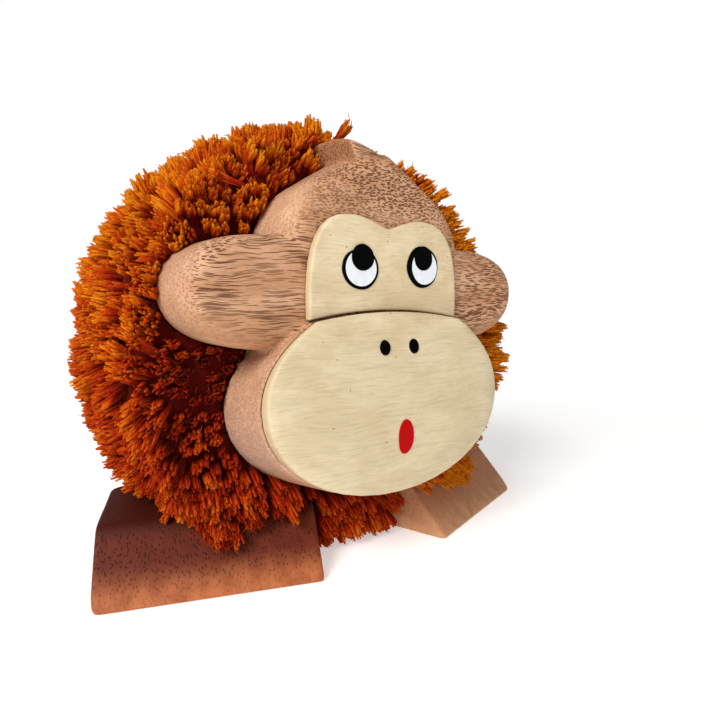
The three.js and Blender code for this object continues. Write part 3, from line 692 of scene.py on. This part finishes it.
# low down in front the ends hang forward, more so over the feet
below, belowOver = yarn["hangBelow"]
front, frontOver = yarn["hangAhead"]
footFrom, footOver = yarn["footFrom"]
footMiddle, footWide = yarn["footMiddle"]
hangLeast, hangMore = yarn["footHang"]
low = grown(below - spots[:, 2], belowOver) * grown(front - spots[:, 1], frontOver)
aside = np.abs(spots[:, :1])
overFoot = grown(aside - footFrom, footOver)
overFoot *= hangLeast + hangMore * np.exp(-((aside - footMiddle) / footWide) ** 2)
droop = np.clip(1.0 - overFoot, 0.0, 1.0) * np.array(yarn["droop"]) + overFoot * np.array(yarn["footDroop"])
tips += low[:, None] * droop
tips[:, 2] = np.maximum(tips[:, 2], yarn["tipFloor"])

# one end is a bundle of plies with loose hairs; pairs are the least and the most of a random share
strand = {
    "endRadius": 1.25, "endSpread": (0.8, 1.2), "plies": 11, "plyRadius": 0.44, "plySpread": (0.8, 1.25),
    "flare": (0.1, 1.0), "cut": (-1.5, 0.15), "lay": 2.8, "collarLay": 1.2, "collarOut": 0.8,
    "layShare": (0.2, 0.8), "layLoose": (0.0, 0.2), "tipScatter": 0.2, "rootShare": 0.3,
    "bendFlare": (-0.1, 0.35), "bendScatter": 0.35, "plyTone": 0.25, "toneRange": (-0.2, 1.2),
    "standingRootLight": 0.45, "rootToneOver": 5.0, "ringLoose": 0.3, "fullTurn": 6.283,
    "fuzz": 8, "fuzzRadius": 0.10, "fuzzSpread": (0.7, 1.3), "fuzzBack": (0.1, 1.4),
    "fuzzLength": (0.6, 1.3), "fuzzScatter": 0.5, "fuzzTone": 0.3, "fuzzAlong": (0.7, 0.9),
    "woodGap": 0.3, "floor": 0.7, "offAxis": (0.31, 0.52, 0.79), "lieStretch": (1.0, 1.0, 8.0),
    "lieJump": (941.0, 577.0, 0.0),
}
rng.normal(size=spots.shape)  # not used, but the draws after it stay as they were
tone = rng.random(count)
endRadius = strand["endRadius"] * rng.uniform(*strand["endSpread"], count)


def tubeShape(sides, levels, shares):
    # a short tube along z that swells and draws in by the shares given
    bm = bmesh.new()
    loop = bmesh.ops.create_circle(bm, segments=sides, radius=shares[0])["verts"]
    for level, share in zip(levels[1:], shares[1:]):
        edges = [e for e in bm.edges if e.verts[0] in loop and e.verts[1] in loop]
        made = bmesh.ops.extrude_edge_only(bm, edges=edges)["geom"]
        loop = [g for g in made if isinstance(g, bmesh.types.BMVert)]
        for v in loop:
            v.co = Vector((v.co.x, v.co.y, 0.0)).normalized() * share
            v.co.z = level
    bmesh.ops.contextual_create(bm, geom=[e for e in bm.edges if e.verts[0] in loop and e.verts[1] in loop])
    bmesh.ops.recalc_face_normals(bm, faces=bm.faces)
    if max(bm.faces, key=lambda f: f.calc_center_median().z).normal.z < 0:
        bmesh.ops.reverse_faces(bm, faces=bm.faces)
    points = np.array([v.co[:] for v in bm.verts])
    faces = [[v.index for v in f.verts] for f in bm.faces]
    bm.free()
    return points, faces


plyShape = tubeShape(sides=4, levels=(0.0, 0.72, 1.0), shares=(0.8, 1.1, 0.46))
fuzzShape = tubeShape(sides=3, levels=(0.0, 1.0), shares=(1.0, 0.45))


def bentTubes(points, a, b, c, radius):
    # the tube bent along a curve from a past b to c, for every row
    t = points[:, 2][None, :, None]
    line = (1 - t) ** 2 * a[:, None, :] + 2 * t * (1 - t) * b[:, None, :] + t * t * c[:, None, :]
    run = unit(c - a)
    across = unit(np.cross(run, np.array(strand["offAxis"])))
    upright = np.cross(run, across)
    offset = points[None, :, :1] * across[:, None, :] + points[None, :, 1:2] * upright[:, None, :]
    return line + offset * radius[:, None, None]


solids = []
for obj in (head, muzzlePlate, leftFoot, rightFoot):
    corners = np.array([v.co[:] for v in obj.data.vertices]) * toMm
    solids.append((treeOf(obj), corners.min(0), corners.max(0)))


def keepOut(points, room):
    # moves points that lie in the wood out to its surface, and up from the ground
    for tree, boxLow, boxHigh in solids:
        near = np.all((points > boxLow - room) & (points < boxHigh + room), axis=1)
        for i in np.nonzero(near)[0]:
            spot, normal = tree.find_nearest(Vector(points[i] * mm))[:2]
            if (Vector(points[i] * mm) - spot).dot(normal) < room * mm:
                points[i] = np.array(spot + normal * room * mm) * toMm
    points[:, 2] = np.maximum(points[:, 2], strand["floor"])


def strandPiece(name, shape, rows, along, tone):
    points, faces = shape
    placed = bentTubes(points, *rows).reshape(-1, 3)
    keepOut(placed, strand["woodGap"])
    many, each = len(rows[0]), len(points)
    sizes = np.tile([len(f) for f in faces], many)
    loops = (np.concatenate(faces)[None, :] + (np.arange(many) * each)[:, None]).ravel()
    mesh = bpy.data.meshes.new(name)
    mesh.vertices.add(many * each)
    mesh.vertices.foreach_set("co", (placed * mm).ravel())
    mesh.loops.add(len(loops))
    mesh.loops.foreach_set("vertex_index", loops)
    mesh.polygons.add(len(sizes))
    mesh.polygons.foreach_set("loop_start", np.concatenate(([0], np.cumsum(sizes)[:-1])))
    mesh.update(calc_edges=True)
    smoothShade(mesh)
    share = points[None, :, 2]
    reach = (along[:, :1] * (1 - share) + along[:, 1:] * share).ravel()
    lie = points[None, :, :] * np.array(strand["lieStretch"])
    lie = lie + tone[:, None, None] * np.array(strand["lieJump"])
    mesh.attributes.new("along", "FLOAT", "POINT").data.foreach_set("value", reach)
    mesh.attributes.new("tone", "FLOAT", "POINT").data.foreach_set("value", np.repeat(tone, each))
    mesh.attributes.new("lie", "FLOAT_VECTOR", "POINT").data.foreach_set("vector", lie.ravel())
    newPiece(name, mesh, woolMaterial)


side = unit(np.cross(aim, rng.normal(0.0, 1.0, aim.shape)))
other = np.cross(aim, side)


def ringOf(many):
    # for every end, directions spread round it
    start = rng.random((count, 1)) * strand["fullTurn"]
    place = np.arange(many) + rng.uniform(-strand["ringLoose"], strand["ringLoose"], (count, many))
    turn = start + place * strand["fullTurn"] / many
    return np.cos(turn)[..., None] * side[:, None, :] + np.sin(turn)[..., None] * other[:, None, :]


def loose(many, low, high):
    return rng.uniform(low, high, (count, many, 1))


# the plies flare at the cut and are combed aside
plies, fuzz = strand["plies"], strand["fuzz"]
ring, thick = ringOf(plies), endRadius[:, None, None]
across = sway - (sway * outward).sum(1)[:, None] * outward
across = unit(across + strand["collarOut"] * inCollar[:, None] * radial)[:, None, :]
plyTip = tips[:, None, :] + ring * thick * loose(plies, *strand["flare"])
plyTip = plyTip + aim[:, None, :] * loose(plies, *strand["cut"])
combed = across * (loose(1, *strand["layShare"]) + loose(plies, *strand["layLoose"]))
combed = combed * np.where(inCollar, strand["collarLay"], strand["lay"])[:, None, None]
plyTip += combed + rng.normal(0.0, strand["tipScatter"], ring.shape)
plyRoot = roots[:, None, :] + ring * thick * strand["rootShare"]
plyBend = 0.4 * plyRoot + 0.6 * plyTip + ring * thick * loose(plies, *strand["bendFlare"])
plyBend = plyBend + rng.normal(0.0, strand["bendScatter"], ring.shape)
plyRadius = strand["plyRadius"] * loose(plies, *strand["plySpread"])[..., 0]
plyTone = tone[:, None] + rng.normal(0.0, strand["plyTone"], (count, plies))
plyTone = np.clip(plyTone, *strand["toneRange"])
# painted light: ends standing above the rest get lighter roots, lying less deep in shade
standingRootLight = strand["standingRootLight"] * grown(lift - yarn["stand"], strand["rootToneOver"])
plyAlong = np.stack([np.tile(standingRootLight[:, None], plies), np.tile(tipTone[:, None], plies)], -1)

# the hairs stand off near the tips
ring = ringOf(fuzz)
fuzzStart = plyTip[:, :fuzz] - aim[:, None, :] * loose(fuzz, *strand["fuzzBack"])
fuzzWay = unit(across + ring + rng.normal(0.0, strand["fuzzScatter"], ring.shape))
fuzzEnd = fuzzStart + fuzzWay * loose(fuzz, *strand["fuzzLength"])
fuzzRadius = strand["fuzzRadius"] * loose(fuzz, *strand["fuzzSpread"])[..., 0]
fuzzTone = tone[:, None] + rng.normal(0.0, strand["fuzzTone"], (count, fuzz))
fuzzTone = np.clip(fuzzTone, *strand["toneRange"])
fuzzAlong = np.tile(strand["fuzzAlong"], (count, fuzz, 1))


def rowsOf(group, *parts):
    return [part[group].reshape(-1, *part.shape[2:]) for part in parts]


angle = np.arctan2(spots[:, 2] - centre[2], spots[:, 0] - centre[0])
for n, group in enumerate(np.array_split(np.argsort(angle), yarn["sectors"])):
    rows = rowsOf(group, plyRoot, plyBend, plyTip, plyRadius)
    strandPiece("yarn_ends_%d" % (n + 1), plyShape, rows, *rowsOf(group, plyAlong, plyTone))
    rows = rowsOf(group, fuzzStart, 0.5 * (fuzzStart + fuzzEnd), fuzzEnd, fuzzRadius)
    strandPiece("yarn_fuzz_%d" % (n + 1), fuzzShape, rows, *rowsOf(group, fuzzAlong, fuzzTone))


# painted shade: the heart takes the darkest end of the yarn ramp, for the shade deep between the ends
heart = {"radius": 53.6, "fineness": 6, "rough": 0.02, "roughScale": 260.0, "floor": 4.0,
         "boardBack": -26.35, "behindHead": 0.5, "besideHead": -1.2, "headReach": 30.0,
         "woodGap": 0.5, "along": 0.04, "tone": 0.5}


def yarnHeart():
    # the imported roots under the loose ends
    bm = bmesh.new()
    bmesh.ops.create_icosphere(bm, subdivisions=heart["fineness"], radius=heart["radius"] * mm)
    for v in bm.verts:
        rough = 1.0 + heart["rough"] * noise.noise(v.co * heart["roughScale"])
        p = v.co * rough + Vector(yarn["centre"]) * mm
        for at, wide, deep in yarn["dents"]:
            off = (p * toMm - Vector(at)).length_squared / wide ** 2
            p -= v.co.normalized() * mm * deep * math.exp(-off)
        free = openAhead(Vector((p.x, 0.0, p.z)), heart["headReach"])
        front = heart["boardBack"] + heart["besideHead" if free else "behindHead"]
        p.y = max(p.y, front * mm)
        p.z = max(p.z, heart["floor"] * mm)
        v.co = p
    mesh = bpy.data.meshes.new("yarn_heart")
    bm.to_mesh(mesh)
    bm.free()
    spread = np.empty(len(mesh.vertices) * 3)
    mesh.vertices.foreach_get("co", spread)
    spread = spread.reshape(-1, 3) * toMm
    keepOut(spread, heart["woodGap"])
    mesh.vertices.foreach_set("co", (spread * mm).ravel())
    mesh.update()
    smoothShade(mesh)
    for key in ("along", "tone"):
        values = [heart[key]] * len(mesh.vertices)
        mesh.attributes.new(key, "FLOAT", "POINT").data.foreach_set("value", values)
    mesh.attributes.new("lie", "FLOAT_VECTOR", "POINT").data.foreach_set("vector", spread.ravel())
    obj = newPiece("yarn_heart", mesh, woolMaterial)
    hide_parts("yarn_pompom")


yarnHeart()
print("yarn made")


def dress(nodeName, material):
    # a hidden CAD node stays and only gets a material
    nodes[nodeName].data.materials.clear()
    nodes[nodeName].data.materials.append(material)


dowelMaterial = plainGrained("dowel_birch", dowelLook)
dress("body_core", plainGrained("core_beech", coreLook))
dress("binding_cord", plainGrained("twisted_cord", cordLook))
for nodeName in ("neck_dowel", "left_leg_dowel", "right_leg_dowel"):
    dress(nodeName, dowelMaterial)
print("inner pieces dressed")


# floor, light and camera, in metres and degrees
stage = {
    "floor": (0.86, 0.855, 0.845, 1.0), "floorHalf": 4.0, "floorRough": 0.9, "floorGlow": 0.45,
    "fade": (0.11, 0.26), "white": (1.0, 1.0, 1.0, 1.0), "sky": 0.34, "skyTint": (1.0, 0.99, 0.975, 1.0),
    "keyAt": (-0.74, -0.37, 0.58), "keySize": 0.40, "keyPower": 8.6, "keyTint": (1.0, 0.985, 0.96),
    "fillAt": (0.55, -0.75, 0.35), "fillSize": 0.7, "fillPower": 0.2, "fillTint": (1.0, 0.99, 0.98),
    "lampsLookAt": (0.0, -0.01, 0.05), "lens": 27.5, "sensor": 36.0, "nearest": 0.01,
    "cameraAt": (-0.0808, -0.14405, 0.062), "cameraTilt": 84.0, "cameraTurn": -36.0,
}


def makeFloor():
    bm = bmesh.new()
    bmesh.ops.create_grid(bm, x_segments=1, y_segments=1, size=stage["floorHalf"])
    mesh = bpy.data.meshes.new("floor")
    bm.to_mesh(mesh)
    bm.free()
    floor = bpy.data.objects.new("floor", mesh)
    scene.collection.objects.link(floor)
    material, wire, shader = startMaterial("pale_floor")
    shader.inputs["Base Color"].default_value = stage["floor"]
    shader.inputs["Roughness"].default_value = stage["floorRough"]
    shader.inputs["Emission Color"].default_value = stage["white"]
    shader.inputs["Emission Strength"].default_value = stage["floorGlow"]
    place = wire.node("ShaderNodeTexCoord", {}, {}, "Object")
    far = wire.node("ShaderNodeVectorMath", {"operation": "LENGTH"}, {0: place}, "Value")
    seen = wire.node("ShaderNodeLightPath", {}, {}, "Is Camera Ray")
    white = wire.node("ShaderNodeEmission", {}, {"Color": stage["white"], "Strength": 1.0})
    own = Wire(wire.tree, shader.outputs[0])
    faded = seen * step(far, *stage["fade"])
    mixed = wire.node("ShaderNodeMixShader", {}, {0: faded, 1: own, 2: white})
    wire.tree.links.new(mixed.socket, wire.tree.nodes["Material Output"].inputs["Surface"])
    mesh.materials.append(material)


def areaLight(name, at, size, power, colour):
    data = bpy.data.lights.new(name, "AREA")
    data.size, data.energy, data.color = size, power, colour
    lamp = bpy.data.objects.new(name, data)
    lamp.location = at
    away = Vector(stage["lampsLookAt"]) - Vector(at)
    lamp.rotation_euler = away.to_track_quat("-Z", "Y").to_euler()
    scene.collection.objects.link(lamp)


makeFloor()
areaLight("key_light", stage["keyAt"], stage["keySize"], stage["keyPower"], stage["keyTint"])
areaLight("fill_light", stage["fillAt"], stage["fillSize"], stage["fillPower"], stage["fillTint"])

world = bpy.data.worlds.new("studio")
world.use_nodes = True
scene.world = world
sky = Wire(world.node_tree)
lit = sky.node("ShaderNodeBackground", {}, {"Color": stage["skyTint"], "Strength": stage["sky"]})
shown = sky.node("ShaderNodeBackground", {}, {"Color": stage["white"], "Strength": 1.0})
seen = sky.node("ShaderNodeLightPath", {}, {}, "Is Camera Ray")
both = sky.node("ShaderNodeMixShader", {}, {0: seen, 1: lit, 2: shown})
sky.tree.links.new(both.socket, sky.tree.nodes["World Output"].inputs["Surface"])

cameraData = bpy.data.cameras.new("camera")
cameraData.lens, cameraData.sensor_width = stage["lens"], stage["sensor"]
cameraData.clip_start = stage["nearest"]
camera = bpy.data.objects.new("camera", cameraData)
camera.location = stage["cameraAt"]
camera.rotation_euler = (math.radians(stage["cameraTilt"]), 0.0, math.radians(stage["cameraTurn"]))
scene.collection.objects.link(camera)
scene.camera = camera
print("stage set")
